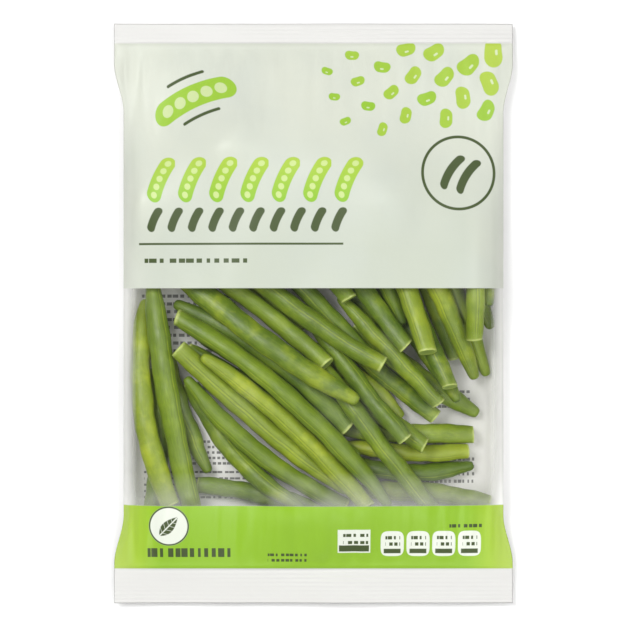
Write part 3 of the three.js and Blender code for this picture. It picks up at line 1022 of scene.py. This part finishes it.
def front_film(settings):
    """Printed front film: pale panel, clear window with painted glare and sheen, lime band and
    off-white crimped seals.
    """
    shader = Shader("film_front")
    x, y, _ = shader.place()
    where = shader.where()
    cloud = shader.noise(where, 26.0, 3.0, 0.55)
    tab_x = row_of(x, 36, 11.8, 4)
    colour, in_panel, in_band = plain_areas(shader, x, y, cloud, settings)
    colour, lime = lime_print(shader, x, y, colour)
    badge = disc(x, y, BADGE_PLACE, 9.2)
    label = box_mask(x, y, 11, 26, -109.5, -98.5)
    white = either(badge, label, tablet(tab_x, y + 105.2, 5.4, 6.0))
    dark = olive_print(shader, x, y, tab_x)
    in_seal = seal_mask(y, settings)
    colour = shader.blend(white, colour, LABEL_WHITE)
    colour = shader.blend(dark, colour, settings.olive_ink)
    colour = shader.blend(in_seal, colour, SEAL_WHITE)
    margin = abs(x).step(80.5, 85.5)
    # Painted reflections on the clear window, laid in as whitish alpha: a painted glare near the
    # band, painted glints in cloud patches and a painted sheen that grows at grazing angles, plus
    # the whiter side margins.
    painted_glare = (1 - y.step(-87, -72)) * cloud.step(0.33, 0.52)
    sheen = shader.node("ShaderNodeFresnel", inputs={"IOR": 1.45}) * 0.28
    glare_and_margins = sheen + cloud.step(0.54, 0.8) * 0.07 + painted_glare * 0.28 + margin * 0.72
    solid = 0.95 - cloud.step(0.35, 0.75) * 0.05 - margin * 0.12
    alpha = glare_and_margins * (1 - in_panel) * (1 - in_band) + (in_panel + in_band).held() * solid
    alpha = alpha * (1 - in_seal) + in_seal * 0.9
    alpha = alpha.most(either(lime, dark, white) * 0.97)
    return shader.surface(
        Base_Color=colour,
        Roughness=cloud.step(0.2, 0.8) * 0.12 + (in_panel * 0.08 + 0.3),
        Specular_IOR_Level=0.3,
        Alpha=alpha.held(),
        Normal=shader.bump(shader.noise(where, 240.0, 2.0, 0.5), 0.0004, 0.25),
    )


def back_film(settings):
    """Back film: clear and slightly grey, with rows of grey bars and two vents."""
    shader = Shader("film_back")
    x, y, _ = shader.place()
    in_seal = seal_mask(y, settings)
    bars = bar_blocks(shader, x, y, BACK_BLOCKS)
    cloud = shader.noise(shader.where(), 30.0, 2.0, 0.5)
    colour = shader.blend(bars, BACK_TINT, BACK_INK)
    clear = 0.6 + cloud.step(0.3, 0.8) * 0.1
    vents = disc(abs(x), y, [place * 1000 for place in VENT_PLACE], 1.5)
    alpha = (clear * (1 - in_seal) + in_seal * 0.9).most(bars * 0.75) * (1 - vents)
    return shader.surface(
        Base_Color=colour, Roughness=0.3, Specular_IOR_Level=0.5, Alpha=alpha.held()
    )


# Stage.


SENSOR_WIDTH = 36
BAG_MIDDLE = 0.012
SKY_STRENGTH = 0.24
LAMPS = (
    ("key", (-0.55, 0.42, 1.25), 0.55, 1.0),
    ("fill", (0.7, 0.1, 1.2), 0.9, 0.62),
    ("low", (0.1, -0.8, 1.0), 0.8, 0.4),
)


class OBJECT_OT_set_bean_stage(Operator):
    """Puts the bundle on a pale floor under soft light, with the camera straight above."""

    bl_idname = "object.set_bean_stage"
    bl_label = "Set Stage"

    def execute(self, context):
        settings = context.scene.stage_settings
        nothing_selected()
        bpy.ops.mesh.primitive_plane_add(size=12)
        floor = context.object
        floor.name = "floor"
        paint = Shader("floor_paint").surface(
            Base_Color=settings.floor_colour, Roughness=0.9, Specular_IOR_Level=0.1
        )
        floor.data.materials.append(paint)
        for name, place, size, share in LAMPS:
            bpy.ops.object.light_add(type="AREA", location=place)
            lamp = context.object
            lamp.name = name
            lamp.data.size = size
            lamp.data.energy = settings.key_power * share
            lamp.rotation_euler = (-Vector(place)).to_track_quat("-Z", "Y").to_euler()
        world = bpy.data.worlds.new("soft_room")
        context.scene.world = world
        world.use_nodes = True
        sky = world.node_tree.nodes["Background"]
        sky.inputs["Color"].default_value = (1, 1, 1, 1)
        sky.inputs["Strength"].default_value = SKY_STRENGTH
        context.scene.view_settings.view_transform = "Standard"
        height = settings.camera_height
        bpy.ops.object.camera_add(location=(0, 0, height), rotation=(0, 0, 0))
        camera = context.object
        camera.data.sensor_width = SENSOR_WIDTH
        camera.data.lens = SENSOR_WIDTH * (height - BAG_MIDDLE) / settings.photo_width
        camera.data.clip_end = 20
        context.scene.camera = camera
        return {"FINISHED"}


# Panel and registration.


class VIEW3D_PT_green_beans(Panel):
    """Lists the settings and the steps in the sidebar."""

    bl_label = "Green Bean Bundle"
    bl_space_type = "VIEW_3D"
    bl_region_type = "UI"
    bl_category = "Green Beans"

    def draw(self, context):
        scene = context.scene
        for group in (scene.bean_settings, scene.film_settings, scene.stage_settings):
            for name in group.bl_rna.properties.keys():
                if name not in ("rna_type", "name"):
                    self.layout.prop(group, name)
        for operator in ("lay_green_beans", "wrap_in_film", "close_the_back", "set_bean_stage"):
            self.layout.operator(f"object.{operator}")


CLASSES = (
    BeanSettings,
    FilmSettings,
    StageSettings,
    OBJECT_OT_lay_green_beans,
    OBJECT_OT_wrap_in_film,
    OBJECT_OT_close_the_back,
    OBJECT_OT_set_bean_stage,
    VIEW3D_PT_green_beans,
)


def register():
    for item in CLASSES:
        bpy.utils.register_class(item)
    bpy.types.Scene.bean_settings = PointerProperty(type=BeanSettings)
    bpy.types.Scene.film_settings = PointerProperty(type=FilmSettings)
    bpy.types.Scene.stage_settings = PointerProperty(type=StageSettings)


def unregister():
    del bpy.types.Scene.stage_settings
    del bpy.types.Scene.film_settings
    del bpy.types.Scene.bean_settings
    for item in reversed(CLASSES):
        bpy.utils.unregister_class(item)


def main():
    register()
    bpy.ops.object.lay_green_beans()
    bpy.ops.object.wrap_in_film()
    bpy.ops.object.close_the_back()
    bpy.ops.object.set_bean_stage()


if __name__ == "__main__":
    main()
